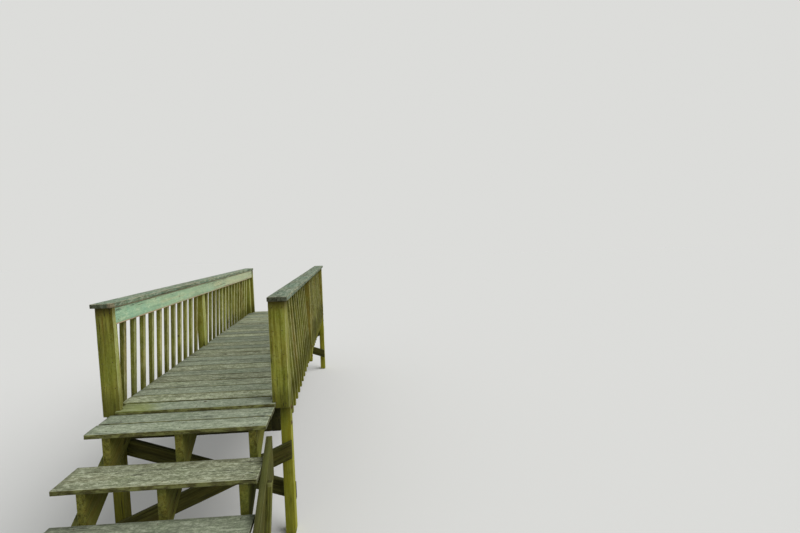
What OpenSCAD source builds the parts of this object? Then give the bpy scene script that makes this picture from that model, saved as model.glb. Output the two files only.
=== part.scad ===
// Wooden footbridge with an open-riser timber stair at its front end.
// Millimetres, +Z up. X runs across the bridge, +Y runs along the walkway away from the stair.
// Origin: on the ground, under the middle of the plan. Sizes along the walkway are worked out
// from the front edge of the deck and moved there by y_mid.

/* [Walkway] */
// Clear width between the end boards of the two railings
clear_w = 1236; // [1100:4:1400]
// Width of one deck board
board_w = 148; // [144:1:152]
// Open joint between deck boards
board_gap = 8; // [5:1:10]
// Thickness of deck boards and treads
board_t = 38; // [32:1:44]

/* [Stair] */
// Height of one step
step_rise = 226; // [215:1:235]
// Height of the lowest step above the ground
first_rise = 272; // [240:1:290]
// Depth of one step from riser cut to riser cut
step_run = 276; // [270:1:290]
// Drop from the deck surface to the top tread
landing_drop = 24; // [18:1:28]
// Depth of a lower tread, front to back
tread_d = 257; // [245:1:262]
// Thickness of a cut stringer
stringer_t = 58; // [48:1:64]
// Depth of a stringer, square to its lower edge
stringer_d = 262; // [250:1:280]

/* [Railing] */
// Height from the deck to the underside of the cap
rail_h = 847; // [800:1:900]
// Side of a square post
post_w = 89; // [84:1:94]
// Thickness of the plies, headers, rails, caps and end boards
ply = 38; // [34:1:42]
// Width of the end boards
trim_w = 140; // [134:1:150]
// Depth of the inner rail
rail_d = 150; // [140:1:160]
// Width of the cap board
cap_w = 168; // [150:1:184]
// Side of a square baluster
baluster_w = 38; // [32:1:42]

/* [Frame] */
// Depth of the side girders
girder_d = 235; // [220:1:250]
// Depth of the outer rim board
rim_d = 184; // [170:1:200]
// Depth of the cross bracing boards
brace_d = 140; // [130:1:145]

/* [Hidden] */
board_n = 28;
board_front_n = 9;
board_middle_n = 10;
step_n = 5;
bars_1 = 11;
bars_2 = 14;
// The first gap of a bay is narrower than the others
bar_start = 0.72;
// Levels
tread_top_1 = first_rise + (step_n - 1) * step_rise;
deck_top = tread_top_1 + landing_drop;
frame_top = deck_top - board_t;
seat_1 = tread_top_1 - board_t;
cap_base = deck_top + rail_h;
rail_base = cap_base - rail_d;
girder_base = frame_top - girder_d;
rim_base = frame_top - rim_d;
trim_base = frame_top - 22;
bar_base = rim_base + baluster_w / 3;
bar_bend = 1.5 * baluster_w;
bar_gap = baluster_w / 10;
// Lines across the bridge, measured from the centre
trim_in = clear_w / 2;
trim_out = trim_in + trim_w;
post_out = trim_out;
post_in = post_out - post_w;
rail_in = post_in - ply;
rim_t = ply + 6;
rim_out = post_in + rim_t;
deck_out = rim_out - 20;
end_board_out = trim_in + 31;
girder_in = post_in - 2 * ply;
cap_in = trim_in - 3;
cap_out = cap_in + cap_w;
// Lines along the bridge
deck_len = board_n * board_w + (board_n - 1) * board_gap;
trim_y = 28;
post_y = trim_y + ply;
far_trim_y = deck_len - trim_y - ply;
far_post_y = far_trim_y - post_w;
frame_y0 = post_y;
frame_y1 = far_trim_y;
mid_post_y = 0.44 * deck_len;
mid_header_y = mid_post_y + post_w / 2 - ply / 2;
clear_1 = mid_post_y - post_y - post_w;
clear_2 = far_post_y - mid_post_y - post_w;
cap_over = 25;
// Stair lines
tread_back_1 = -4;
nosing = 20;
landing_d = 2 * board_w + board_gap;
riser_1 = tread_back_1 - landing_d + nosing;
carriage_in = trim_in + 14;
tread_left = [trim_out - 78, trim_out - 40, trim_out - 41, trim_out - 46, trim_out - 42];
tread_right = [trim_in + 26, carriage_in, trim_in - 2, carriage_in, carriage_in];
stair_slope = step_rise / step_run;
stair_cos = step_run / sqrt(step_rise * step_rise + step_run * step_run);
stringer_drop = stringer_d / stair_cos;
stringer_x = [61 - girder_in, -9, girder_in - 62];
sister_top = step_rise - 25;
sister_d = 140;
carriage_t = 48;
carriage_d = 235;
carriage_top = 40;
carriage_head_y = riser_1 - 12;
strut_w = 36;
strut_d = 40;
strut_head_y = riser_1 - 247;
strut_foot_y = riser_1 - 634;
strut_top = tip_line(strut_head_y) - carriage_top - 16;
foot_y = riser_1 - (step_n - 1) * step_run;
heel_y = riser_1 - (seat_1 - stringer_drop) / stair_slope;
y_mid = (deck_len + foot_y - nosing) / 2;
// Heights of the brace ends on the outer faces of the posts
brace_a_high = girder_base - 86;
brace_a_low = 316;
brace_b_high = girder_base - 154;
brace_b_low = 130;

// Helpers

module block(x0, x1, y0, y1, z0, z1) {
  translate([min(x0, x1), y0 - y_mid, z0])
    cube([abs(x1 - x0), y1 - y0, z1 - z0]);
}

// Height of the line through the stringer tips at a given y
function tip_line(y) = seat_1 + (y - riser_1) * stair_slope;

// Extrudes a profile drawn in Y and Z between two lines across the bridge
module across(x0, x1) {
  translate([min(x0, x1), -y_mid, 0])
    rotate([90, 0, 90])
      linear_extrude(height = abs(x1 - x0))
        children();
}

// Extrudes a profile drawn in X and Z from y0 to y1
module along(y0, y1) {
  translate([0, y1 - y_mid, 0])
    rotate([90, 0, 0])
      linear_extrude(height = y1 - y0)
        children();
}

// Frame under the deck

module girder(s) {
  color("olivedrab")
    block(s * girder_in, s * post_in, frame_y0, frame_y1, girder_base, frame_top);
}

module rim(s) {
  color("olive") {
    block(s * post_in, s * rim_out, post_y + post_w, mid_post_y, rim_base, frame_top);
    block(s * post_in, s * rim_out, mid_post_y + post_w, far_post_y, rim_base, frame_top);
  }
}

module header(y0) {
  color("olivedrab")
    block(-girder_in, girder_in, y0, y0 + ply, girder_base, frame_top);
}

module joist_centre() {
  color("olive") {
    block(-ply / 2, ply / 2, frame_y0 + ply, mid_header_y, rim_base, frame_top);
    block(-ply / 2, ply / 2, mid_header_y + ply, frame_y1 - ply, rim_base, frame_top);
  }
}

module girder_left() {
  girder(-1);
}

module girder_right() {
  girder(1);
}

module rim_left() {
  rim(-1);
}

module rim_right() {
  rim(1);
}

module header_front() {
  header(frame_y0);
}

module header_middle() {
  header(mid_header_y);
}

module header_far() {
  header(frame_y1 - ply);
}

// Posts stand outside the girders, the corner posts run on down as legs

module post(s, y0, z0) {
  color("darkkhaki")
    block(s * post_in, s * post_out, y0, y0 + post_w, z0, cap_base);
}

module post_front_left() {
  post(-1, post_y, 0);
}

module post_front_right() {
  post(1, post_y, 0);
}

module post_mid_left() {
  post(-1, mid_post_y, girder_base - 20);
}

module post_mid_right() {
  post(1, mid_post_y, girder_base - 20);
}

module post_far_left() {
  post(-1, far_post_y, 0);
}

module post_far_right() {
  post(1, far_post_y, 0);
}

// End boards close the railing ends and run down past the deck

module trim(s, y0) {
  color("darkkhaki")
    block(s * trim_in, s * trim_out, y0, y0 + ply, trim_base, cap_base);
}

module trim_front_left() {
  trim(-1, trim_y);
}

module trim_front_right() {
  trim(1, trim_y);
}

module trim_far_left() {
  trim(-1, far_trim_y);
}

module trim_far_right() {
  trim(1, far_trim_y);
}

// Rails on the inner faces of the posts, caps flat on top

module rail(s) {
  color("darkseagreen")
    block(s * rail_in, s * post_in, post_y, far_trim_y, rail_base, cap_base);
}

module cap(s) {
  color("silver")
    block(s * cap_in, s * cap_out, trim_y - cap_over, deck_len - trim_y + cap_over, cap_base, cap_base + ply);
}

module rail_left() {
  rail(-1);
}

module rail_right() {
  rail(1);
}

module cap_left() {
  cap(-1);
}

module cap_right() {
  cap(1);
}

// Balusters lean: the head bears on the back of the rail, the foot on the outer face of the rim
module baluster(s, y0) {
  along(y0, y0 + baluster_w)
    polygon([
      [s * post_in, cap_base - bar_gap],
      [s * post_in, rail_base],
      [s * rim_out, deck_top],
      [s * rim_out, bar_base],
      [s * (rim_out + baluster_w), bar_base],
      [s * (rim_out + baluster_w), deck_top - bar_bend],
      [s * (post_in + baluster_w), rail_base + bar_bend],
      [s * (post_in + baluster_w), cap_base - bar_gap]
    ]);
}

module balusters(s, y0, clear, n) {
  pitch = clear / (n + bar_start);
  color("khaki")
    for (i = [1:n])
      baluster(s, y0 + pitch * (i - 1 + bar_start) - baluster_w / 2);
}

module balusters_left_1() {
  balusters(-1, post_y + post_w, clear_1, bars_1);
}

module balusters_left_2() {
  balusters(-1, mid_post_y + post_w, clear_2, bars_2);
}

module balusters_right_1() {
  balusters(1, post_y + post_w, clear_1, bars_1);
}

module balusters_right_2() {
  balusters(1, mid_post_y + post_w, clear_2, bars_2);
}

// Deck boards run past the girders over the rim and are notched round the posts.
// The first and the last board are shorter and are notched round the end boards.

module notch(s, x, y0, y1) {
  block(s * (x - 2), s * (post_out + 50), y0 - 3, y1 + 3, frame_top - 1, deck_top + 1);
}

module deck_board(i) {
  y0 = i * (board_w + board_gap);
  end = (i == 0 || i == board_n - 1) ? end_board_out : deck_out;
  difference() {
    block(-end, end, y0, y0 + board_w, frame_top, deck_top);
    for (s = [-1, 1]) {
      notch(s, trim_in, trim_y, post_y);
      notch(s, trim_in, far_trim_y, far_trim_y + ply);
      notch(s, post_in, post_y, post_y + post_w);
      notch(s, post_in, mid_post_y, mid_post_y + post_w + 13);
      notch(s, post_in, far_post_y, far_post_y + post_w);
    }
  }
}

module deck_boards(first, count) {
  color("gray")
    for (i = [first:first + count - 1])
      deck_board(i);
}

module deck_front() {
  deck_boards(0, board_front_n);
}

module deck_middle() {
  deck_boards(board_front_n, board_middle_n);
}

module deck_far() {
  deck_boards(board_front_n + board_middle_n, board_n - board_front_n - board_middle_n);
}

// Stair: the top tread is two deck boards, each lower tread is one wide board

module tread(k, widths) {
  y0 = riser_1 - nosing - (k - 1) * step_run;
  z0 = seat_1 - (k - 1) * step_rise;
  color("darkgray")
    for (i = [0:len(widths) - 1])
      translate([0, i * (widths[0] + board_gap), 0])
        block(-tread_left[k - 1], tread_right[k - 1], y0, y0 + widths[i], z0, z0 + board_t);
}

module tread_1() {
  tread(1, [board_w, board_w]);
}

module tread_2() {
  tread(2, [tread_d]);
}

module tread_3() {
  tread(3, [tread_d]);
}

module tread_4() {
  tread(4, [tread_d]);
}

module tread_5() {
  tread(5, [tread_d]);
}

// Sawtooth profile of a stringer: level seats, plumb risers, straight lower edge, level foot
function saw(k) = [
  [riser_1 - (k - 1) * step_run, seat_1 - (k - 1) * step_rise],
  [riser_1 - (k - 1) * step_run, seat_1 - k * step_rise]
];

module stringer(x) {
  color("olive")
    across(x - stringer_t / 2, x + stringer_t / 2)
      polygon(concat(
        [[frame_y0, tip_line(frame_y0) - stringer_drop], [frame_y0, seat_1]],
        saw(1), saw(2), saw(3), saw(4),
        [[foot_y, seat_1 - (step_n - 1) * step_rise], [foot_y, 0], [heel_y, 0]]
      ));
}

module stringer_left() {
  stringer(stringer_x[0]);
}

module stringer_centre() {
  stringer(stringer_x[1]);
}

module stringer_right() {
  stringer(stringer_x[2]);
}

// Sloping board with a level foot, its top edge a given drop below the tip line.
// Its head is cut level at z_max and plumb at y_max.
module sloping(x0, x1, top, depth, z_max, y_max) {
  drop = depth / stair_cos;
  past_foot = foot_y - step_run;
  across(x0, x1)
    intersection() {
      polygon([
        [frame_y0, tip_line(frame_y0) - top - drop],
        [frame_y0, tip_line(frame_y0) - top],
        [past_foot, tip_line(past_foot) - top],
        [past_foot, tip_line(past_foot) - top - drop]
      ]);
      translate([foot_y, 0])
        square([y_max - foot_y, z_max]);
    }
}

module sister_left() {
  x = stringer_x[0] - stringer_t / 2;
  color("darkseagreen")
    sloping(x - ply, x, sister_top, sister_d, seat_1, frame_y0);
}

// The carriage stands against the ends of the treads, its head under the top tread
module carriage_right() {
  color("darkseagreen")
    sloping(carriage_in, carriage_in + carriage_t, carriage_top, carriage_d, seat_1, carriage_head_y);
}

// A leaning strut on the outer face of the carriage, cut level at its head and foot
module strut_right() {
  x = carriage_in + carriage_t;
  color("olive")
    across(x, x + strut_w)
      polygon([
        [strut_foot_y, 0],
        [strut_foot_y + strut_d, 0],
        [strut_head_y + strut_d, strut_top],
        [strut_head_y, strut_top]
      ]);
}

// Crossed boards on the front and back faces of the corner posts, ends cut plumb

module brace(y0, zl, zr) {
  h = brace_d / 2 / cos(atan((zl - zr) / (2 * post_out)));
  color("olivedrab")
    along(y0, y0 + ply)
      polygon([
        [-post_out, zl - h],
        [post_out, zr - h],
        [post_out, zr + h],
        [-post_out, zl + h]
      ]);
}

module brace_front_a() {
  brace(post_y + post_w, brace_a_high, brace_a_low);
}

module brace_front_b() {
  brace(post_y - ply, brace_b_low, brace_b_high);
}

module brace_far_a() {
  brace(far_post_y - ply, brace_a_high, brace_a_low);
}

module brace_far_b() {
  brace(far_post_y + post_w, brace_b_low, brace_b_high);
}

girder_left();
girder_right();
rim_left();
rim_right();
header_front();
header_middle();
header_far();
joist_centre();
post_front_left();
post_front_right();
post_mid_left();
post_mid_right();
post_far_left();
post_far_right();
trim_front_left();
trim_front_right();
trim_far_left();
trim_far_right();
rail_left();
rail_right();
cap_left();
cap_right();
balusters_left_1();
balusters_left_2();
balusters_right_1();
balusters_right_2();
deck_front();
deck_middle();
deck_far();
tread_1();
tread_2();
tread_3();
tread_4();
tread_5();
stringer_left();
stringer_centre();
stringer_right();
sister_left();
carriage_right();
strut_right();
brace_front_a();
brace_front_b();
brace_far_a();
brace_far_b();
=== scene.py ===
import math
import random

import bpy
import numpy as np
from mathutils import Matrix, Vector, noise
from mathutils.bvhtree import BVHTree


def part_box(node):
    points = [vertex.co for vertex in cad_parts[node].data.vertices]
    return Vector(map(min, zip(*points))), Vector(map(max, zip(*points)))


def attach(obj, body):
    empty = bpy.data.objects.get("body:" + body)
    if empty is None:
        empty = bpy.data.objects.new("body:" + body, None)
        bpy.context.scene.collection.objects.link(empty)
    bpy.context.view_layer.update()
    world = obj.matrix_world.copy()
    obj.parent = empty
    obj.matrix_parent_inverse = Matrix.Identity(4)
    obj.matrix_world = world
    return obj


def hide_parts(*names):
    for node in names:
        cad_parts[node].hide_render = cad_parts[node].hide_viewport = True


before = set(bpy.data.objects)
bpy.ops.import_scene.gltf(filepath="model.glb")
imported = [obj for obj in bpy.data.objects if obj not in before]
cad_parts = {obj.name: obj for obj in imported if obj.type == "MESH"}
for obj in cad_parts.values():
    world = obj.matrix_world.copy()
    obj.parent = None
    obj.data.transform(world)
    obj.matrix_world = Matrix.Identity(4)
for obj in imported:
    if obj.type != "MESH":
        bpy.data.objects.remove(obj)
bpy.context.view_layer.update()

random.seed(11)

# Lengths are in metres, unless a comment says millimetres
MM = 0.001
INCH = 25.4 * MM
AXES = (Vector((1, 0, 0)), Vector((0, 1, 0)), Vector((0, 0, 1)))

# The photograph's frame and the camera that sees it
PHOTO_W = 800
SENSOR_W = 36.0
FOCAL_PX = 356.32
CAMERA_YAW = math.radians(2.552)
CAMERA_PITCH = math.radians(3.584)
CAMERA_ROLL = math.radians(1.923)
CAMERA_SHIFT = 36.48 / PHOTO_W
CAMERA_ABOVE_DECK = 50.765 * INCH
CAMERA_SIDE = 50.664 * INCH
CAMERA_BEFORE_DECK = 114.433 * INCH
CAMERA_REACH = 200.0

# Daylight: a wide soft sun from the right, an even sky, and a pale floor
SUN_FROM = Vector((0.66, -0.10, 0.75))
SUN_STRENGTH = 2.1
SUN_ANGLE = math.radians(55)
SUN_TINT = (1.0, 0.99, 0.96)
SKY_STRENGTH = 0.44
SKY_TINT = (0.98, 1.0, 0.98)
FLOOR_SIZE = 120.0
FLOOR_SEEN = 0.77
FLOOR_BOUNCE = 0.30

# Heights and lines that the looks need, read off the built frame
CAP_LEFT_LO, CAP_LEFT_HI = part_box("cap_left")
CAP_BASE = CAP_LEFT_LO.z
DECK_LO, DECK_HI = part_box("deck_front")
DECK_TOP = DECK_HI.z
DECK_START = DECK_LO.y

# How boards are taken from the solids and cut up, so that their faces can wander
WELD = 0.00003
FLAT_ANGLE = math.radians(0.5)
SLICE = 0.04
ARRIS_ANGLE = math.radians(35)
SMOOTH_ANGLE = math.radians(30)
SQUARE_ON = 0.985
ON_ARRIS = 0.93
ARRIS_FACE = 0.0009
STRAIGHT = 0.999
NEARLY_STRAIGHT = 0.99
CUP_STRIPS = 4

# How far boards weather at most, in millimetres: sunk, short at an end, roughened, split
SETTLED = 1.6
TRIMMED = 3.0
ROUGHENED = 0.3
SPLIT_WIDTH = 5.0
SPLIT_BEND = 3.0

# Where they weather: the wear's waves in turns per metre, the share of an arris that a nick
# takes, an end's slope, the width it runs over and its reach, the pith's distance from a
# board's middle, and the wedge that opens a split
WAVES = (2.2, 9.0, 31.0)
NICKED = 0.45
SKEW = 0.012
SKEW_WIDTH = 0.2
END_REACH = 0.15
PITH_OFF = 0.05
SPLIT_HEIGHT = 0.09
SPLIT_PAST_END = 0.01
SPLIT_TAPER = 0.97
SPLIT_TIP = 0.04

# How each group of nodes is dressed: finish, arris radius, wander and cup in millimetres, and a
# last column of painted shade that darkens parts standing in shade, where a negative value paints
# light instead.
# The first row that fits a node's name counts.
DRESS = (
    ("post_", "post_wood", 3.0, 1.2, 0.0, 0.0),
    ("trim_front_right", "post_wood", 3.0, 1.2, 0.8, -0.15),
    ("trim_", "post_wood", 3.0, 1.2, 0.8, 0.0),
    ("balusters_right", "baluster_wood", 2.2, 0.6, 0.0, 0.22),
    ("balusters_", "baluster_wood", 2.2, 0.6, 0.0, 0.0),
    ("rail_", "rail_wood", 3.0, 1.2, 0.8, 0.0),
    ("cap_left", "cap_wood", 4.0, 1.4, 1.0, 0.0),
    ("cap_right", "cap_wood", 4.0, 1.4, 1.0, 0.12),
    ("deck_", "walk_wood", 4.5, 1.6, 1.4, 0.0),
    ("tread_1", "walk_wood", 6.0, 1.8, 1.6, -0.42),
    ("tread_2", "walk_wood", 6.0, 1.8, 1.6, -0.16),
    ("tread_", "walk_wood", 6.0, 1.8, 1.6, 0.22),
    ("stringer_", "frame_wood", 3.0, 1.2, 0.0, 0.0),
    ("sister_", "frame_wood", 3.0, 1.2, 0.0, 0.50),
    ("carriage_", "frame_wood", 4.0, 1.2, 0.0, 0.62),
    ("strut_", "frame_wood", 3.0, 0.8, 0.0, 0.45),
    ("brace_", "frame_wood", 3.0, 1.2, 0.0, 0.68),
    ("girder_", "frame_wood", 3.0, 1.2, 0.0, 0.75),
    ("header_", "frame_wood", 3.0, 1.2, 0.0, 0.85),
    ("joist_", "frame_wood", 3.0, 1.2, 0.0, 0.85),
    ("rim_", "frame_wood", 3.0, 1.2, 0.0, 0.50),
)

# Boards with an open split at one end: node, which board, which end, place across, length
SPLITS = (
    ("tread_1", 0, 1, 0.10, 0.16),
    ("tread_1", 0, -1, -0.22, 0.21),
    ("tread_1", 1, 1, -0.15, 0.12),
    ("tread_2", 0, 1, 0.22, 0.19),
    ("tread_2", 0, -1, -0.12, 0.26),
    ("tread_3", 0, 1, -0.20, 0.22),
    ("tread_4", 0, -1, 0.16, 0.18),
    ("tread_5", 0, 1, 0.05, 0.24),
    ("deck_front", 2, 1, 0.12, 0.13),
    ("deck_front", 4, -1, -0.10, 0.15),
    ("deck_front", 7, 1, 0.20, 0.11),
    ("deck_middle", 1, -1, 0.16, 0.14),
    ("deck_middle", 5, 1, -0.18, 0.16),
    ("deck_far", 3, 1, 0.08, 0.12),
    ("cap_left", 0, -1, 0.14, 0.17),
    ("cap_right", 0, -1, -0.12, 0.22),
    ("cap_right", 0, 1, 0.18, 0.15),
)

# Fasteners: their sizes
NAIL_RADIUS = 4.4 * MM
NAIL_DEPTH = 2.4 * MM
NAIL_RIM = 1.2 * MM
NAIL_CROWN = 0.4 * MM
WASHER_RADIUS = 20.0 * MM
WASHER_DEPTH = 3.0 * MM
WASHER_ARRIS = 0.8 * MM
BOLT_RADIUS = 13.0 * MM
HEAD_ANGLE = math.radians(35)
HEAD_TILT = 0.05

# How far from a board's edge or end they sit
BOARD_INSET = 0.028
TREAD_INSET = 0.036
RAIL_INSET = 0.035
CAP_INSET = 0.10
END_BOARD_INSET = 0.05
CARRIAGE_INSET = 0.07
STRUT_INSET = 0.02
BRACE_INSET = 0.09
BOLT_INSET = 0.055
BOLT_STAGGER = 0.012

# How many there are in a row, or the heights and places that they have
CAP_NAILS = 9
END_BOARD_NAILS = 5
BALUSTER_NAILS = (CAP_BASE - 0.045, CAP_BASE - 0.115, DECK_TOP - 0.085, DECK_TOP - 0.165)
BRACE_NAILS = ((-0.022, 0.03), (0.02, 0.0), (-0.012, -0.035))
STRUT_NAILS = (0.05, 0.12)
STRUT_LEAN = 0.44

# Where the lines start that find a board's face, and how far they reach
CLEAR_OF_FACE = 0.02
BALUSTER_START = 0.82
BOLT_START = 0.80
LINE_REACH = 0.12

boards_of = {}
surface_of = {}


def lone(piece):
    """Selects one object and nothing else."""
    bpy.ops.object.select_all(action="DESELECT")
    piece.select_set(True)
    bpy.context.view_layer.objects.active = piece
    return piece


def edit(on=True):
    """Enters the active object's mesh, or leaves it."""
    bpy.ops.object.mode_set(mode="EDIT" if on else "OBJECT")


def settle(piece):
    """Puts a piece's place, turn and size into its mesh."""
    lone(piece)
    bpy.ops.object.transform_apply(location=True, rotation=True, scale=True)
    return piece


def modify(piece, kind, **settings):
    """Adds one modifier, sets it and applies it."""
    lone(piece)
    mod = piece.modifiers.new(kind, kind)
    for key, value in settings.items():
        setattr(mod, key, value)
    bpy.ops.object.modifier_apply(modifier=mod.name)


def joined(pieces, name):
    """Joins several objects into one named piece."""
    bpy.ops.object.select_all(action="DESELECT")
    for piece in pieces:
        piece.select_set(True)
    bpy.context.view_layer.objects.active = pieces[0]
    if len(pieces) > 1:
        bpy.ops.object.join()
    whole = bpy.context.view_layer.objects.active
    whole.name = name
    whole.data.name = name
    return whole


def ride(piece, material):
    """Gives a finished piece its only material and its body."""
    piece.data.materials.clear()
    piece.data.materials.append(material)
    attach(piece, "root")


def drawn(low, high):
    """A vector of three random numbers."""
    return Vector((random.uniform(low, high), random.uniform(low, high), random.uniform(low, high)))


def coords(mesh):
    """A mesh's points as an array of rows."""
    points = np.empty(len(mesh.vertices) * 3)
    mesh.vertices.foreach_get("co", points)
    return points.reshape(-1, 3)


def main_way(vector):
    """Which of X, Y and Z a vector follows most."""
    return max(range(3), key=lambda i: abs(vector[i]))


def long_axis(points):
    """The direction in which a board runs."""
    spread = points - points.mean(0)
    values, vectors = np.linalg.eigh(spread.T @ spread)
    axis = Vector(vectors[:, 2])
    if abs(axis[main_way(axis)]) > NEARLY_STRAIGHT:
        axis = AXES[main_way(axis)].copy()
    return axis.normalized()


def note_board(piece, axis, lo, hi, painted_shade):
    """Stores on each point how the board was sawn and where it ends, for its finish to read."""
    mesh = piece.data
    count = len(mesh.vertices)
    middle = (lo + hi) / 2
    pith = middle + drawn(-1, 1) * PITH_OFF
    vectors = {"grain": axis, "pith": pith, "middle": middle, "half": (hi - lo) / 2}
    for name, value in vectors.items():
        layer = mesh.attributes.new(name, "FLOAT_VECTOR", "POINT")
        layer.data.foreach_set("vector", np.tile(np.array(value), count))
    # The last value stored is this board's painted shade, which darkens it; a negative one paints
    # light.
    for name, value in (("lot", random.random()), ("painted_shade", painted_shade)):
        layer = mesh.attributes.new(name, "FLOAT", "POINT")
        layer.data.foreach_set("value", np.full(count, value))
    flags = [1.0 if max(abs(c) for c in face.normal) < SQUARE_ON and face.area < ARRIS_FACE else 0.0
             for face in mesh.polygons]
    mesh.attributes.new("arris", "FLOAT", "FACE").data.foreach_set("value", np.array(flags))


def slice_up(piece, axis, low, high, step):
    """Cuts rings into a board along one direction, so that its faces can wander."""
    cuts = max(2, int((high - low) / step))
    lone(piece)
    edit()
    for i in range(1, cuts):
        bpy.ops.mesh.select_all(action="SELECT")
        bpy.ops.mesh.bisect(plane_co=axis * (low + (high - low) * i / cuts), plane_no=axis)
    edit(False)


def worn(vert, seed, radius, warp):
    """How deep a point has worn: slow waves, ripples, and nicks along the arrises."""
    slow, middling, quick = [noise.noise(vert.co * scale + seed) for scale in WAVES]
    depth = warp * MM * (0.5 + 0.5 * slow)
    depth += 0.5 * warp * MM * (0.5 + 0.5 * middling)
    depth += ROUGHENED * MM * (0.5 + 0.5 * quick)
    if max(abs(c) for c in vert.normal) < ON_ARRIS:
        depth += max(0.0, middling * 0.6 + quick * 0.8) * radius * NICKED * MM
    return depth


def round_arrises(piece, radius):
    """Rounds a piece's sharp edges."""
    modify(piece, "BEVEL", width=radius, segments=2, limit_method="ANGLE", angle_limit=ARRIS_ANGLE)


def sawn_off(gap, trim, slope):
    """How far an uneven saw cut draws a point in, by its distance from the board's end."""
    return (trim + max(0.0, slope) * SKEW_WIDTH) * max(0.0, 1 - gap / END_REACH)


def weather(piece, axis, lo, hi, radius, warp, cup):
    """Slices a board, rounds its arrises, cups it, trims its ends, lets its faces wander."""
    along = coords(piece.data) @ np.array(axis)
    low, high = along.min(), along.max()
    size = hi - lo
    run = main_way(axis)
    cupped = cup > 0 and abs(axis[run]) > STRAIGHT
    across = max((i for i in range(3) if abs(axis[i]) < 0.5), key=lambda i: size[i])
    thin = 3 - across - run
    slice_up(piece, axis, low, high, SLICE)
    if cupped:
        slice_up(piece, AXES[across], lo[across], hi[across], size[across] / CUP_STRIPS)
    round_arrises(piece, radius * MM)
    seed = drawn(0, 50)
    settled = random.uniform(0.0, SETTLED) * MM
    low_trim = random.uniform(0.0, TRIMMED) * MM
    high_trim = random.uniform(0.0, TRIMMED) * MM
    skew = random.uniform(-SKEW, SKEW)
    for vert in piece.data.vertices:
        place = vert.co
        shift = vert.normal * -worn(vert, seed, radius, warp)
        if cupped:
            side = (place[across] - lo[across]) / size[across] * 2 - 1
            shift[thin] -= cup * side * side * MM + settled
            shift += axis * sawn_off(place @ axis - low, low_trim, side * skew)
            shift -= axis * sawn_off(high - place @ axis, high_trim, -side * skew)
        vert.co = [min(max(c, least), most) for c, least, most in zip(place + shift, lo, hi)]
    piece.data.update()


def split_end(piece, axis, lo, hi, end, across_at, length):
    """Opens a narrow wedge along the grain at one end of a board."""
    run = main_way(axis)
    size = hi - lo
    side = max((i for i in range(3) if i != run), key=lambda i: size[i])
    tip = hi[run] if end > 0 else lo[run]
    place = (lo + hi) / 2
    place[side] += across_at * size[side]
    place[run] = tip - end * (length / 2 - SPLIT_PAST_END)
    scale = Vector((1, 1, 1)) * SPLIT_HEIGHT
    scale[run] = length
    scale[side] = SPLIT_WIDTH * MM
    bpy.ops.mesh.primitive_cube_add(size=1, location=place)
    wedge = bpy.context.active_object
    wedge.scale = scale
    settle(wedge)
    edit()
    bpy.ops.mesh.select_all(action="SELECT")
    bpy.ops.mesh.bisect(plane_co=place, plane_no=AXES[run])
    edit(False)
    for vert in wedge.data.vertices:
        inward = (tip - vert.co[run]) * end / length
        narrow = max(SPLIT_TIP, 1.0 - max(0.0, inward) * SPLIT_TAPER)
        bend = SPLIT_BEND * MM * math.sin(5.0 * inward + 30.0 * across_at)
        vert.co[side] = place[side] + (vert.co[side] - place[side]) * narrow + bend
    modify(piece, "BOOLEAN", operation="DIFFERENCE", object=wedge, solver="EXACT")
    bpy.data.objects.remove(wedge)


def boards_from(node):
    """Copies a CAD node and takes the copy apart into single boards, from front to back."""
    lone(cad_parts[node])
    bpy.ops.object.duplicate()
    lone(bpy.context.view_layer.objects.active)
    edit()
    bpy.ops.mesh.select_all(action="SELECT")
    bpy.ops.mesh.remove_doubles(threshold=WELD)
    bpy.ops.mesh.dissolve_limited(angle_limit=FLAT_ANGLE)
    bpy.ops.mesh.select_all(action="SELECT")
    bpy.ops.mesh.separate(type="LOOSE")
    edit(False)
    boards = list(bpy.context.selected_objects)
    boards.sort(key=lambda b: tuple(coords(b.data).mean(0)[[1, 0, 2]]))
    for board in boards:
        for key in [k for k in board.keys() if k.startswith("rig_")]:
            del board[key]
        board.parent = None
    return boards


def timber(node, radius, warp, cup, painted_shade):
    """Dresses one CAD node: the same boards with worn arrises and their own grain."""
    boards = boards_from(node)
    boards_of[node] = []
    for count, board in enumerate(boards):
        points = coords(board.data)
        axis = long_axis(points)
        lo, hi = Vector(points.min(0)), Vector(points.max(0))
        boards_of[node].append((lo, hi))
        weather(board, axis, lo, hi, radius, warp, cup)
        for name, index, end, across_at, length in SPLITS:
            if name == node and index == count:
                split_end(board, axis, lo, hi, end, across_at, length)
        note_board(board, axis, lo, hi, painted_shade)
        lone(board)
        bpy.ops.object.shade_smooth_by_angle(angle=SMOOTH_ANGLE)
    piece = joined(boards, node + "_timber")
    piece.hide_render = False
    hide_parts(node)
    faces = [tuple(face.vertices) for face in piece.data.polygons]
    surface_of[node] = BVHTree.FromPolygons([vert.co.copy() for vert in piece.data.vertices], faces)
    return piece


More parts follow.
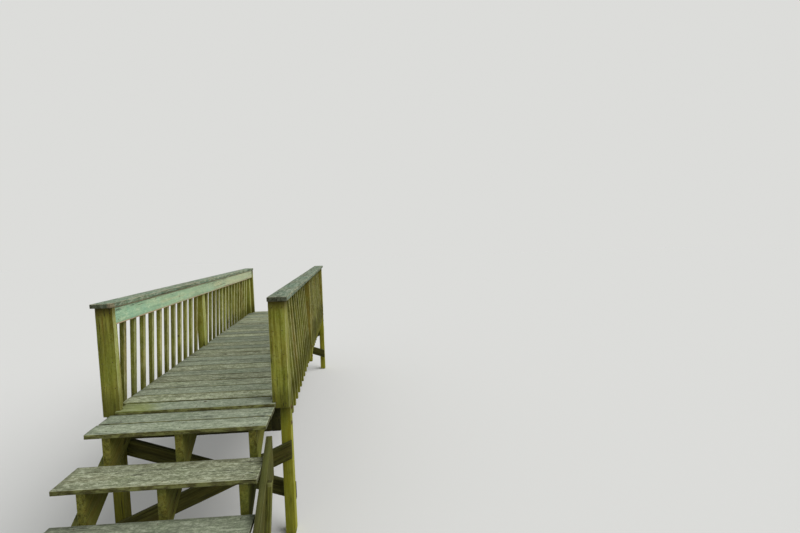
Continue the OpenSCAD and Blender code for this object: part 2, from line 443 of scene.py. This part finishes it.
class Maths:
    """A shader socket on which Python's operators add Math nodes."""

    def __init__(self, graph, socket):
        self.graph = graph
        self.socket = socket

    def op(self, operation, *values):
        return self.graph.add("ShaderNodeMath", {"operation": operation}, *values)

    def __add__(self, other):
        return self.op("ADD", self, other)

    def __radd__(self, other):
        return self.op("ADD", other, self)

    def __sub__(self, other):
        return self.op("SUBTRACT", self, other)

    def __rsub__(self, other):
        return self.op("SUBTRACT", other, self)

    def __mul__(self, other):
        return self.op("MULTIPLY", self, other)

    def __rmul__(self, other):
        return self.op("MULTIPLY", other, self)

    def __neg__(self):
        return self.op("MULTIPLY", self, -1.0)

    def clamp(self):
        return self.graph.add("ShaderNodeClamp", {}, self)

    def size(self):
        return self.op("ABSOLUTE", self)

    def sine(self):
        return self.op("SINE", self)

    def fraction(self):
        return self.op("FRACT", self)

    def least(self, other):
        return self.op("MINIMUM", self, other)

    def most(self, other):
        return self.op("MAXIMUM", self, other)

    def step(self, low, high):
        """0 below low, 1 above high, smooth between."""
        smooth = {"interpolation_type": "SMOOTHSTEP"}
        return self.graph.add("ShaderNodeMapRange", smooth, self, low, high)


class Graph:
    """The nodes of a material or a world."""

    def __init__(self, owner):
        owner.use_nodes = True
        self.tree = owner.node_tree
        self.tree.nodes.clear()

    def node(self, kind, settings, *values, **named):
        """Adds a node: its settings first, then the values or links of its sockets."""
        node = self.tree.nodes.new(kind)
        for key, value in settings.items():
            setattr(node, key, value)
        for index, value in enumerate(values):
            self.plug(node.inputs[index], value)
        for key, value in named.items():
            self.plug(node.inputs[key.replace("_", " ")], value)
        return node

    def add(self, kind, settings, *values, out=0, **named):
        """Adds a node and hands over one of its outputs."""
        node = self.node(kind, settings, *values, **named)
        return Maths(self, node.outputs[out]) if node.outputs else None

    def plug(self, entry, value):
        """Gives a node's input a link or a value. None leaves it as it is."""
        if isinstance(value, Maths):
            self.tree.links.new(value.socket, entry)
        elif value is not None:
            entry.default_value = value

    def note(self, name, out):
        """One of the values that note_board stored."""
        return self.add("ShaderNodeAttribute", {"attribute_name": name}, out=out)

    def parts(self, vector):
        """The three numbers of a vector."""
        node = self.node("ShaderNodeSeparateXYZ", {}, vector)
        return [Maths(self, socket) for socket in node.outputs]

    def vector(self, operation, *values, out="Vector"):
        return self.add("ShaderNodeVectorMath", {"operation": operation}, *values, out=out)

    def scaled(self, vector, factor):
        return self.add("ShaderNodeVectorMath", {"operation": "SCALE"}, vector, Scale=factor)

    def noise(self, vector, scale, detail, rough):
        return self.add("ShaderNodeTexNoise", {}, Vector=vector, Scale=scale, Detail=detail,
                        Roughness=rough)

    def mix(self, factor, first, second, blend="MIX"):
        """Mixes two colours. The node's sockets for other kinds come before those for colours."""
        others = [None] * 5
        return self.add("ShaderNodeMix", {"data_type": "RGBA", "blend_type": blend},
                        factor, *others, first, second, out=2)

    def grey(self, level):
        return self.add("ShaderNodeCombineColor", {}, level, level, level)

    def bump(self, height, strength, distance):
        return self.add("ShaderNodeBump", {}, Strength=strength, Distance=distance, Height=height)

    def surface(self, color, rough, normal, specular):
        shader = self.add("ShaderNodeBsdfPrincipled", {}, Base_Color=color, Roughness=rough,
                          Normal=normal, Specular_IOR_Level=specular)
        self.add("ShaderNodeOutputMaterial", {}, shader)


def rgb(red, green, blue):
    """A colour given as it looks on screen, 0 to 255, made linear."""
    def line(c):
        c = c / 255.0
        return c / 12.92 if c <= 0.04045 else ((c + 0.055) / 1.055) ** 2.4
    return (line(red), line(green), line(blue), 1.0)


SHADE = rgb(26, 22, 10)
KNOT = rgb(58, 46, 22)
SAWN_END = rgb(58, 52, 28)
GRIME = rgb(72, 70, 40)
MOSS = rgb(128, 136, 62)
RAW_DARK = rgb(112, 96, 66)
RAW_LIGHT = rgb(196, 178, 148)
# Painted shadow colour for the uprights just under the cap.
CAP_SHADOW = rgb(78, 66, 22)
# Olive growth colour for the legs, made brighter as painted light.
LEG_GROWTH_AND_LIGHT = rgb(178, 178, 34)
# Painted shade colour for the left legs.
LEG_SHADE = rgb(66, 58, 12)
POST_LOW_DARK = rgb(84, 86, 20)
FRONT_DARK = rgb(72, 68, 30)
FRONT_LIGHT = rgb(124, 126, 70)
TOP_GREY = rgb(124, 138, 130)

# What each timber finish is mixed from. The amounts say how much of it shows; lots are the level of
# the darkest board and how much lighter the palest is.
# lit is painted light for faces turned to the right, and head is how strong the painted shadow
# under the cap is.
LOOKS = {
    "post_wood": {
        "name": "olive_post", "lots": (0.86, 0.30), "pits": 0.9, "grit": 0.18,
        "dark": rgb(114, 108, 22), "light": rgb(182, 180, 80), "warm": rgb(142, 112, 38),
        "warmth": 0.60, "growth": rgb(130, 148, 44), "spread": 0.40, "lit": rgb(214, 222, 148),
        "top": rgb(136, 140, 88), "edge": rgb(204, 204, 146), "bloom": rgb(168, 176, 104),
        "bloomed": 0.25, "streaks": 0.85, "dirt": 0.20, "head": 0.8,
    },
    "baluster_wood": {
        "name": "olive_baluster", "lots": (0.86, 0.30), "pits": 1.0, "grit": 0.2,
        "dark": rgb(108, 106, 24), "light": rgb(178, 178, 82), "warm": rgb(152, 124, 54),
        "warmth": 0.5, "growth": rgb(134, 146, 48), "spread": 0.40, "lit": rgb(204, 204, 150),
        "top": rgb(136, 140, 88), "edge": rgb(220, 214, 168), "bloom": rgb(186, 188, 130),
        "bloomed": 0.35, "streaks": 0.8, "dirt": 0.0, "head": 0.5,
    },
    "rail_wood": {
        "name": "mint_rail", "lots": (0.86, 0.30), "pits": 0.7, "grit": 0.16,
        "dark": rgb(128, 164, 134), "light": rgb(194, 218, 178), "warm": rgb(192, 182, 138),
        "warmth": 0.45, "growth": rgb(140, 192, 168), "spread": 0.6, "lit": rgb(170, 202, 166),
        "top": rgb(160, 180, 146), "edge": rgb(196, 168, 134), "bloom": rgb(206, 222, 188),
        "bloomed": 0.5, "streaks": 0.4, "dirt": 0.0,
        "border": rgb(206, 172, 140), "bleached": rgb(204, 194, 158),
    },
    "cap_wood": {
        "name": "lichen_cap", "lots": (0.86, 0.30), "pits": 1.0, "grit": 0.4,
        "dark": rgb(72, 82, 56), "light": rgb(146, 158, 130), "warm": rgb(124, 116, 86),
        "warmth": 0.3, "growth": rgb(106, 138, 118), "spread": 0.7, "lit": rgb(124, 140, 110),
        "top": rgb(142, 152, 130), "edge": rgb(176, 170, 138), "bloom": rgb(194, 202, 180),
        "bloomed": 0.65, "streaks": 0.9, "dirt": 0.3,
    },
    "walk_wood": {
        "name": "grey_plank", "lots": (0.80, 0.42), "pits": 1.0, "grit": 0.5,
        "dark": rgb(86, 88, 62), "light": rgb(180, 186, 156), "warm": rgb(120, 108, 76),
        "warmth": 0.45, "growth": rgb(118, 132, 92), "spread": 0.45, "lit": rgb(138, 142, 104),
        "top": rgb(152, 160, 132), "edge": rgb(176, 180, 152), "bloom": rgb(204, 210, 184),
        "bloomed": 0.55, "streaks": 0.95, "dirt": 0.75,
    },
    "frame_wood": {
        "name": "dark_frame", "lots": (0.86, 0.30), "pits": 0.45, "grit": 0.10,
        "dark": rgb(94, 88, 22), "light": rgb(166, 164, 74), "warm": rgb(132, 108, 40),
        "warmth": 0.35, "growth": rgb(120, 134, 54), "spread": 0.4, "lit": rgb(124, 124, 48),
        "top": rgb(124, 132, 78), "edge": rgb(156, 158, 96), "bloom": rgb(152, 160, 104),
        "bloomed": 0.18, "streaks": 0.6, "dirt": 0.0,
    },
}

# Noise laid along the grain: scale across it, scale along it, detail, roughness
PATTERNS = {
    "drift": (3.0, 0.9, 2.0, 0.55),
    "fibre": (150.0, 4.0, 6.0, 0.62),
    "strand": (48.0, 1.6, 5.0, 0.62),
    "broad": (17.0, 0.8, 3.0, 0.55),
    "mottle": (34.0, 12.0, 7.0, 0.68),
    "grit": (88.0, 34.0, 3.0, 0.7),
    "ridge": (30.0, 0.7, 2.0, 0.45),
    "hair": (74.0, 1.5, 2.0, 0.45),
    "stretch": (7.0, 1.5, 2.0, 0.55),
}
RING_PITCH = 0.0068
KNOT_CELLS = 6.0
GRAIN_DEPTH = 2.2 * MM
WOOD_SPECULAR = 0.25


class Timber(Graph):
    """Sawn timber left outdoors: rings and grain round the board's pith, checks, knots, growth."""

    def __init__(self, look):
        self.material = bpy.data.materials.new(look["name"])
        super().__init__(self.material)
        self.look = look
        self.place = self.add("ShaderNodeTexCoord", {}, out="Object")
        self.normal = self.add("ShaderNodeNewGeometry", {}, out="Normal")
        self.grain, self.pith, self.middle, self.half = [
            self.note(name, "Vector") for name in ("grain", "pith", "middle", "half")]
        self.lot, self.arris, self.painted_shade = [
            self.note(name, "Fac") for name in ("lot", "arris", "painted_shade")]
        self.other_lot = (self.lot * 17.31).fraction()
        self.third_lot = (self.lot * 53.77).fraction()
        self.at_x, self.at_y, self.at_z = self.parts(self.place)
        self.face_x, self.face_y, self.face_z = self.parts(self.normal)
        self.lay_grain()
        self.measure_room()
        self.find_knots()
        self.find_grain()
        self.find_checks()

    def lay_grain(self):
        """The board's own frame: along the grain and out from the pith."""
        local = self.vector("SUBTRACT", self.place, self.pith)
        self.along = self.vector("DOT_PRODUCT", local, self.grain, out="Value")
        self.out_from = self.vector("SUBTRACT", local, self.scaled(self.grain, self.along))
        self.shift = self.scaled(self.grain, self.lot * 91.0)
        self.spot = self.vector("ADD", self.place, self.shift)

    def pattern(self, name):
        """One of the noises that follow the grain."""
        across, lengthwise, detail, rough = PATTERNS[name]
        run = self.scaled(self.grain, self.along * lengthwise)
        spread = self.vector("ADD", self.scaled(self.out_from, across), run)
        return self.noise(self.vector("ADD", spread, self.shift), 1.0, detail, rough)

    def measure_room(self):
        """Room left to the board's side edges and to its ends."""
        offset = self.vector("ABSOLUTE", self.vector("SUBTRACT", self.place, self.middle))
        room = self.vector("SUBTRACT", self.half, offset)
        grain_size = self.vector("ABSOLUTE", self.grain)
        own_face = self.vector("ADD", grain_size, self.vector("ABSOLUTE", self.normal))
        gap_x, gap_y, gap_z = [gap + across.step(0.4, 0.5) * 10.0
                               for gap, across in zip(self.parts(room), self.parts(own_face))]
        self.to_edge = gap_x.least(gap_y).least(gap_z)
        self.to_end = self.vector("DOT_PRODUCT", room, grain_size, out="Value")

    def find_knots(self):
        """Small round bodies in some cells only, with the grain swirling round them."""
        cells = self.node("ShaderNodeTexVoronoi", {}, Vector=self.spot, Scale=KNOT_CELLS)
        away = Maths(self, cells.outputs["Distance"])
        chosen = Maths(self, cells.outputs["Color"]).step(0.60, 0.62)
        self.knot = (1.0 - away.step(0.05, 0.12)) * chosen
        self.swirl = (1.0 - away.step(0.0, 0.42)) * chosen

    def find_grain(self):
        """Growth rings, grain and mottling."""
        out = self.vector("LENGTH", self.out_from, out="Value")
        radius = out + self.pattern("drift") * 0.03 + self.swirl * 0.02
        rings = (radius * (2.0 * math.pi / RING_PITCH)).sine() * 0.5 + 0.5
        self.late = rings.step(0.5, 0.98)
        self.fibre = self.pattern("fibre")
        self.strand = self.pattern("strand")
        self.broad = self.pattern("broad")
        self.mottle = self.pattern("mottle")
        self.grit = self.pattern("grit")
        self.patch = self.noise(self.spot, 3.4, 5.0, 0.62)
        self.speck = self.noise(self.place, 95.0, 4.0, 0.7)

    def find_checks(self):
        """Thin dark lines along the grain, in some stretches only and more near the ends."""
        ridge = (self.pattern("ridge") - 0.5).size()
        hair = (self.pattern("hair") - 0.5).size()
        where = self.pattern("stretch")
        near_end = 1.0 - self.to_end.step(0.0, 0.22)
        wide = (1.0 - ridge.step(0.0, 0.011)) * (where + near_end * 0.12).step(0.50, 0.62)
        fine = (1.0 - hair.step(0.0, 0.02)) * (where + near_end * 0.1).step(0.40, 0.60)
        self.check = wide.most(fine * 0.45)

    def sawn(self):
        """The timber's colour by where a face looks: weathered tops, and painted light on faces
        turned to the right, mostly taken off on the right railing's outer side.
        """
        look = self.look
        up = self.face_z.step(0.35, 0.85)
        # The right railing's outer side stands in shade, so most of the painted light is taken off
        # there.
        outside = self.at_x.step(0.60, 0.66)
        right = self.face_x.step(0.45, 0.9) * (1.0 - outside * 0.8)
        tone = (self.strand * 0.45 + self.fibre * 0.35 + self.broad * 0.20).step(0.38, 0.62)
        wood = self.mix(tone, look["dark"], look["light"])
        lit = self.mix(tone * 0.6 + 0.2, self.mix(0.45, look["lit"], look["dark"]), look["lit"])
        tops = self.mix(tone, self.mix(0.6, look["top"], look["dark"]),
                        self.mix(0.5, look["top"], look["light"]))
        # Painted light: faces turned to the right take the lighter lit colour.
        wood = self.mix(right * 0.8, wood, lit)
        wood = self.mix(up, wood, tops)
        warm = (self.broad + self.other_lot * 0.16 - 0.08).step(0.50, 0.64) * look["warmth"]
        return self.mix(warm * (1.0 - up * 0.5), wood, look["warm"])

    def aged(self, wood):
        """Growth, bloom, dark late wood, pits and grit, then worn arrises and open end grain."""
        look = self.look
        dark = look["dark"]
        growth = (self.patch + self.third_lot * 0.14 - 0.07).step(0.46, 0.66)
        growth = growth * (0.5 + self.mottle) * look["spread"]
        wood = self.mix(growth.clamp(), wood, look["growth"])
        bloom = (self.mottle + self.speck * 0.35 - 0.17).step(0.50, 0.62) * look["bloomed"]
        wood = self.mix(bloom, wood, look["bloom"])
        dark_line = self.late * 0.28 + (1.0 - self.strand.step(0.34, 0.46)) * 0.45
        wood = self.mix((dark_line * look["streaks"]).clamp(), wood, self.mix(0.35, dark, SHADE))
        pit = ((1.0 - self.speck.step(0.34, 0.46)) * 0.50
               + (1.0 - self.mottle.step(0.32, 0.44)) * 0.45)
        wood = self.mix(pit.clamp() * look["pits"], wood, self.mix(0.5, dark, SHADE))
        low_grit = (1.0 - self.grit.step(0.34, 0.50)) * look["grit"]
        wood = self.mix(low_grit, wood, self.mix(0.3, dark, SHADE))
        wood = self.mix(self.grit.step(0.52, 0.66) * look["grit"], wood, look["bloom"])
        rubbed = self.arris * (0.25 + 0.75 * self.mottle.step(0.38, 0.6))
        wood = self.mix(rubbed, wood, look["edge"])
        end_grain = self.vector("DOT_PRODUCT", self.normal, self.grain, out="Value").size()
        return self.mix(end_grain.step(0.75, 0.9) * 0.55, wood, SAWN_END)

    def soiled(self, wood):
        """Dirt and moss sit along the board's edges and at its ends."""
        dirt = self.look["dirt"]
        ragged = (self.mottle - 0.5) * 0.03
        grime = (1.0 - (self.to_edge + ragged).step(0.0, 0.022)) * dirt
        grime = grime.most((1.0 - (self.to_end + ragged * 2.0).step(0.0, 0.06)) * dirt * 0.8)
        return self.mix(grime * (1.0 - self.arris) * 0.6, wood, GRIME)

    def rail_marks(self, wood):
        """Bleached towards the far end, with a bare border along each edge."""
        far = self.at_y.step(-1.3, 2.8)
        wood = self.mix(far * (0.25 + 0.5 * self.strand), wood, self.look["bleached"])
        line = 1.0 - (self.to_edge + (self.strand - 0.5) * 0.012).step(0.006, 0.015)
        return self.mix(line * 0.85, wood, self.look["border"])

    def cap_marks(self, wood):
        """A patch of raw wood at the left cap's near inner corner."""
        corner = (CAP_LEFT_HI.x, CAP_LEFT_LO.y + 0.02, CAP_BASE + 0.02)
        away = self.vector("LENGTH", self.vector("SUBTRACT", self.place, corner), out="Value")
        raw = 1.0 - (away + (self.mottle - 0.5) * 0.05).step(0.026, 0.040)
        return self.mix(raw * 0.6, wood, self.mix(self.strand, RAW_DARK, RAW_LIGHT))

    def upright_marks(self, wood):
        """Painted shadow under the cap, darker just above the deck, olive growth with painted light
        down the legs, painted shade on the left ones.
        """
        ragged = self.strand - 0.5
        # Painted shadow under the cap, as strong as the finish's head value.
        cap_shadow = (self.at_z + ragged * 0.12).step(CAP_BASE - 0.11, CAP_BASE - 0.005)
        wood = self.mix(cap_shadow * self.look["head"], wood, CAP_SHADOW)
        # Olive growth down the legs, brightened as painted light.
        leg = 1.0 - (self.at_z + ragged * 0.1).step(DECK_TOP - 0.26, DECK_TOP - 0.02)
        wood = self.mix(leg * 0.5, wood, LEG_GROWTH_AND_LIGHT)
        # Painted shade on the left legs, which stand in shade behind the treads.
        shaded = 1.0 - self.at_x.step(-0.2, 0.2)
        wood = self.mix(leg * shaded * 0.6, wood, LEG_SHADE)
        # A darker olive band on the uprights just above the deck, away from the legs.
        height = self.at_z + (self.patch - 0.5) * 0.5 + ragged * 0.2
        clear_of_low_dark = height.step(DECK_TOP + 0.04, DECK_TOP + 0.22)
        return self.mix((1.0 - clear_of_low_dark) * (1.0 - leg) * 0.6, wood, POST_LOW_DARK)

    def walk_marks(self, wood):
        """Brown front edges, greyer tops on some boards, moss at the deck's near left corner."""
        front = (-self.face_y).step(0.5, 0.9)
        brown = self.mix(self.mottle.step(0.4, 0.6), FRONT_DARK, FRONT_LIGHT)
        wood = self.mix(front * 0.92, wood, brown)
        up = self.face_z.step(0.35, 0.85)
        wood = self.mix(self.third_lot.step(0.3, 0.9) * 0.35 * up, wood, TOP_GREY)
        left = 1.0 - self.at_x.step(-0.62, -0.12)
        near_start = 1.0 - self.at_y.step(DECK_START + 0.02, DECK_START + 0.30)
        corner = left * near_start * self.at_z.step(DECK_TOP - 0.02, DECK_TOP - 0.01)
        moss = (corner + self.mottle * 0.6 - 0.25).step(0.25, 0.75) * corner.step(0.0, 0.2)
        return self.mix(moss * 0.6, wood, MOSS)

    def finished(self, wood):
        """Knots and checks on top, then how pale this board is and how much painted shade darkens
        it; a negative amount paints light.
        """
        wood = self.mix(self.knot * 0.85, wood, KNOT)
        wood = self.mix(self.check * 0.9, wood, SHADE)
        darkest, paler = self.look["lots"]
        # Painted shade darkens the whole board by its stored value; a negative value brightens it
        # as painted light.
        level = (self.lot * paler + darkest) * (1.0 - self.painted_shade * (0.75 + 0.4 * self.mottle))
        wood = self.mix(1.0, wood, self.grey(level), "MULTIPLY")
        height = (self.fibre * 0.40 + self.strand * 0.50 + self.late * 0.12 + self.mottle * 0.25
                  + self.speck * 0.15 - self.check * 1.8 + self.knot * 0.3
                  + self.arris * self.speck * 0.8)
        rough = 0.76 + 0.18 * self.fibre
        self.surface(wood, rough, self.bump(height, 0.85, GRAIN_DEPTH), WOOD_SPECULAR)
        return self.material


# The marks that one finish has and the others don't
MARKS = {
    "post_wood": Timber.upright_marks,
    "baluster_wood": Timber.upright_marks,
    "rail_wood": Timber.rail_marks,
    "cap_wood": Timber.cap_marks,
    "walk_wood": Timber.walk_marks,
}


def weathered(slot):
    """The finished material of one slot."""
    g = Timber(LOOKS[slot])
    wood = g.soiled(g.aged(g.sawn()))
    if slot in MARKS:
        wood = MARKS[slot](g, wood)
    return g.finished(wood)


def rusted_steel():
    """Old steel: dark brown with orange bloom."""
    steel = bpy.data.materials.new("rusted_steel")
    g = Graph(steel)
    bloom = g.noise(g.add("ShaderNodeTexCoord", {}, out="Object"), 160.0, 4.0, 0.65)
    color = g.mix(bloom.step(0.4, 0.65), rgb(46, 38, 30), rgb(112, 70, 40))
    g.surface(color, 0.55 + 0.35 * bloom, g.bump(bloom, 0.5, 0.4 * MM), 0.4)
    return steel


def dress_all():
    """Dresses every node in the finish that the table gives it."""
    woods = {slot: weathered(slot) for slot in LOOKS}
    for node in sorted(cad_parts):
        finish, radius, warp, cup, painted_shade = next(row[1:] for row in DRESS if node.startswith(row[0]))
        ride(timber(node, radius, warp, cup, painted_shade), woods[finish])


def nail_head():
    """A flat round head with a slightly raised middle."""
    bpy.ops.mesh.primitive_cylinder_add(vertices=10, radius=NAIL_RADIUS, depth=NAIL_DEPTH,
                                        end_fill_type="NGON")
    head = bpy.context.active_object
    edit()
    bpy.ops.mesh.select_all(action="DESELECT")
    edit(False)
    for face in head.data.polygons:
        face.select = face.normal.z > 0.9
    edit()
    bpy.ops.mesh.inset(thickness=NAIL_RIM)
    bpy.ops.transform.translate(value=(0, 0, NAIL_CROWN))
    edit(False)
    return head


def bolt_head():
    """A domed head on a round washer."""
    bpy.ops.mesh.primitive_cylinder_add(vertices=20, radius=WASHER_RADIUS, depth=WASHER_DEPTH,
                                        location=(0, 0, 0.5 * MM))
    washer = settle(bpy.context.active_object)
    round_arrises(washer, WASHER_ARRIS)
    bpy.ops.mesh.primitive_uv_sphere_add(segments=18, ring_count=10, radius=BOLT_RADIUS,
                                         location=(0, 0, WASHER_DEPTH / 2))
    dome = bpy.context.active_object
    dome.scale = (1, 1, 0.5)
    settle(dome)
    return joined([dome, washer], "bolt_head")


def put_heads(model, spots, name, material, sink):
    """Copies one head to each spot, where a line through it meets its board, sunk in by sink mm."""
    pieces = []
    for node, start, way in spots:
        hit, normal, index, far = surface_of[node].ray_cast(start, way, LINE_REACH)
        if hit is None or normal.dot(way) > -0.5:
            continue
        tilt = drawn(-1, 1) * HEAD_TILT
        turn = (tilt - way).to_track_quat("Z", "Y").to_matrix().to_4x4()
        mesh = model.data.copy()
        mesh.transform(Matrix.Translation(hit + way * (sink * MM)) @ turn)
        piece = bpy.data.objects.new(name, mesh)
        bpy.context.collection.objects.link(piece)
        pieces.append(piece)
    whole = lone(joined(pieces, name))
    bpy.ops.object.shade_smooth_by_angle(angle=HEAD_ANGLE)
    ride(whole, material)


def near(value, by=4.0):
    """A place that a person aimed at and missed by up to this many millimetres."""
    return value + random.uniform(-by, by) * MM


def centre(node):
    """The middle of a node's box."""
    lo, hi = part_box(node)
    return (lo + hi) / 2


def evenly(low, high, inset, count):
    """Equal steps between two ends, the first and last place an inset away from them."""
    return [low + inset + (high - low - 2 * inset) * i / (count - 1) for i in range(count)]


def from_above(node, x, y, top):
    """A spot on the upper face of a board."""
    return (node, Vector((x, y, top + CLEAR_OF_FACE)), -AXES[2])


def deck_spots():
    """Two nails where each deck board crosses a girder or the centre joist."""
    spots = []
    lines = [centre(n).x for n in ("girder_left", "joist_centre", "girder_right")]
    for node in ("deck_front", "deck_middle", "deck_far"):
        for lo, hi in boards_of[node]:
            for x in lines:
                for y in (lo.y + BOARD_INSET, hi.y - BOARD_INSET):
                    spots.append(from_above(node, near(x, 7), near(y), hi.z))
    return spots


def stair_spots():
    """Nails through the treads into the stringers, and through the carriage into the tread ends."""
    spots = []
    carriage_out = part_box("carriage_right")[1].x + CLEAR_OF_FACE
    for k in range(1, 6):
        node = f"tread_{k}"
        for lo, hi in boards_of[node]:
            for part in ("left", "centre", "right"):
                x = centre("stringer_" + part).x
                for y in (lo.y + TREAD_INSET, hi.y - TREAD_INSET):
                    spots.append(from_above(node, near(x, 6), near(y), hi.z))
        lo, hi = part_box(node)
        if k > 1:
            for y in (lo.y + CARRIAGE_INSET, hi.y - CARRIAGE_INSET):
                start = Vector((carriage_out, near(y), (lo.z + hi.z) / 2))
                spots.append(("carriage_right", start, -AXES[0]))
    lo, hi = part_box("strut_right")
    for down in STRUT_NAILS:
        y = hi.y - STRUT_INSET - down * STRUT_LEAN
        start = Vector((hi.x + CLEAR_OF_FACE, y, hi.z - down))
        spots.append(("strut_right", start, -AXES[0]))
    return spots


def baluster_spots(side, sign):
    """Two nails at a baluster's head and two at its foot, from outside."""
    spots = []
    for bay in ("1", "2"):
        node = f"balusters_{side}_{bay}"
        for lo, hi in boards_of[node]:
            y = (lo.y + hi.y) / 2
            for z in BALUSTER_NAILS:
                start = Vector((sign * BALUSTER_START, near(y, 5), near(z, 5)))
                spots.append((node, start, AXES[0] * -sign))
    return spots


def end_board_spots(side):
    """Two columns of nails in each end board."""
    spots = []
    for end, way in (("front", AXES[1]), ("far", -AXES[1])):
        node = f"trim_{end}_{side}"
        lo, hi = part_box(node)
        y = lo.y - CLEAR_OF_FACE if end == "front" else hi.y + CLEAR_OF_FACE
        for z in evenly(lo.z, hi.z, END_BOARD_INSET, END_BOARD_NAILS):
            for x in (lo.x + BOARD_INSET, hi.x - BOARD_INSET):
                spots.append((node, Vector((near(x, 5), y, near(z, 8))), way))
    return spots


def rail_and_cap_spots(side, sign):
    """Two nails where the rail crosses a post, and two rows of nails along the cap."""
    spots = []
    posts = [centre(f"post_{part}_{side}") for part in ("front", "mid", "far")]
    rail_lo, rail_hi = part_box("rail_" + side)
    inner = rail_hi.x if sign < 0 else rail_lo.x
    for post in posts:
        for z in (rail_lo.z + RAIL_INSET, rail_hi.z - RAIL_INSET):
            start = Vector((inner - sign * CLEAR_OF_FACE, near(post.y, 9), near(z)))
            spots.append(("rail_" + side, start, AXES[0] * sign))
    cap_lo, cap_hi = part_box("cap_" + side)
    for y in evenly(cap_lo.y, cap_hi.y, CAP_INSET, CAP_NAILS):
        for x in (posts[0].x, (rail_lo.x + rail_hi.x) / 2):
            spots.append(from_above("cap_" + side, near(x, 6), near(y, 12), cap_hi.z))
    return spots


def railing_spots():
    """All nails of both railings."""
    spots = []
    for side, sign in (("left", -1), ("right", 1)):
        spots += baluster_spots(side, sign)
        spots += end_board_spots(side)
        spots += rail_and_cap_spots(side, sign)
    return spots


def brace_spots():
    """Three nails at each end of a brace."""
    spots = []
    for end in ("front", "far"):
        for letter in ("a", "b"):
            node = f"brace_{end}_{letter}"
            lo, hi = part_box(node)
            outside = -1 if (end == "front") == (letter == "b") else 1
            start_y = lo.y - CLEAR_OF_FACE if outside < 0 else hi.y + CLEAR_OF_FACE
            high_left = letter == "a"
            for sign in (-1, 1):
                x = centre(f"post_{end}_left").x * -sign
                z = hi.z - BRACE_INSET if (sign < 0) == high_left else lo.z + BRACE_INSET
                for dx, dz in BRACE_NAILS:
                    spots.append((node, Vector((x + dx, start_y, z + dz)), AXES[1] * -outside))
    return spots


def bolt_spots():
    """Two bolts through each post into the girder behind it."""
    spots = []
    for side, sign in (("left", -1), ("right", 1)):
        lo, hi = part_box("girder_" + side)
        for part in ("front", "mid", "far"):
            node = f"post_{part}_{side}"
            y = centre(node).y
            for z, dy in ((hi.z - BOLT_INSET, BOLT_STAGGER), (lo.z + BOLT_INSET, -BOLT_STAGGER)):
                spots.append((node, Vector((sign * BOLT_START, y + dy, z)), AXES[0] * -sign))
    return spots


def fasten():
    """Makes the nails and bolts. All nail places are chosen before the first head is put; the bolt
    places come after the nails.
    """
    steel = rusted_steel()
    nail = nail_head()
    nailed = (("deck_nails", deck_spots(), 0.9), ("stair_nails", stair_spots(), 0.9),
              ("railing_nails", railing_spots(), 1.1), ("brace_nails", brace_spots(), 0.9))
    for name, spots, sink in nailed:
        put_heads(nail, spots, name, steel, sink)
    bpy.data.objects.remove(nail)
    bolt = bolt_head()
    put_heads(bolt, bolt_spots(), "post_bolts", steel, 0.6)
    bpy.data.objects.remove(bolt)


def pale_floor():
    """A floor as pale as the backdrop to the eye, which throws less light back up."""
    bpy.ops.mesh.primitive_plane_add(size=FLOOR_SIZE, location=(0, 0, 0))
    floor = bpy.context.active_object
    floor.name = "floor"
    pale = bpy.data.materials.new("pale_floor")
    g = Graph(pale)
    seen = g.add("ShaderNodeLightPath", {}, out="Is Camera Ray")
    level = FLOOR_BOUNCE + seen * (FLOOR_SEEN - FLOOR_BOUNCE)
    g.surface(g.grey(level), 0.95, None, 0.0)
    floor.data.materials.append(pale)


def daylight():
    """An even sky and a wide sun. The eye sees the sky in the colour of the lit floor."""
    world = bpy.data.worlds.new("even_sky")
    bpy.context.scene.world = world
    g = Graph(world)
    overhead = SUN_STRENGTH * SUN_FROM.normalized().z / math.pi
    shine = [overhead * s + SKY_STRENGTH * c for s, c in zip(SUN_TINT, SKY_TINT)]
    sky = g.add("ShaderNodeBackground", {}, SKY_TINT + (1.0,), SKY_STRENGTH)
    backdrop = g.add("ShaderNodeBackground", {}, tuple(FLOOR_SEEN * c for c in shine) + (1.0,), 1.0)
    seen = g.add("ShaderNodeLightPath", {}, out="Is Camera Ray")
    mirrored = g.add("ShaderNodeLightPath", {}, out="Is Glossy Ray")
    either = g.add("ShaderNodeMixShader", {}, seen.most(mirrored), sky, backdrop)
    g.add("ShaderNodeOutputWorld", {}, either)

    bpy.ops.object.light_add(type="SUN", location=SUN_FROM * 10)
    sun = bpy.context.active_object
    sun.name = "soft_sun"
    sun.data.energy = SUN_STRENGTH
    sun.data.angle = SUN_ANGLE
    sun.data.color = SUN_TINT
    sun.rotation_euler = SUN_FROM.to_track_quat("Z", "Y").to_euler()


def camera():
    """Stands where the photograph was taken from: right of the stair, above the deck."""
    eye = Vector((CAMERA_SIDE, DECK_START - CAMERA_BEFORE_DECK, DECK_TOP + CAMERA_ABOVE_DECK))
    turn = (Matrix.Rotation(-CAMERA_YAW, 4, "Z")
            @ Matrix.Rotation(math.radians(90) - CAMERA_PITCH, 4, "X")
            @ Matrix.Rotation(-CAMERA_ROLL, 4, "Z"))
    bpy.ops.object.camera_add(location=eye, rotation=turn.to_euler())
    view = bpy.context.active_object
    view.name = "photo_camera"
    view.data.sensor_fit = "HORIZONTAL"
    view.data.sensor_width = SENSOR_W
    view.data.lens = SENSOR_W * FOCAL_PX / PHOTO_W
    view.data.shift_x = CAMERA_SHIFT
    view.data.clip_end = CAMERA_REACH
    bpy.context.scene.camera = view


dress_all()
fasten()
pale_floor()
daylight()
camera()
bpy.context.scene.view_settings.view_transform = "Standard"
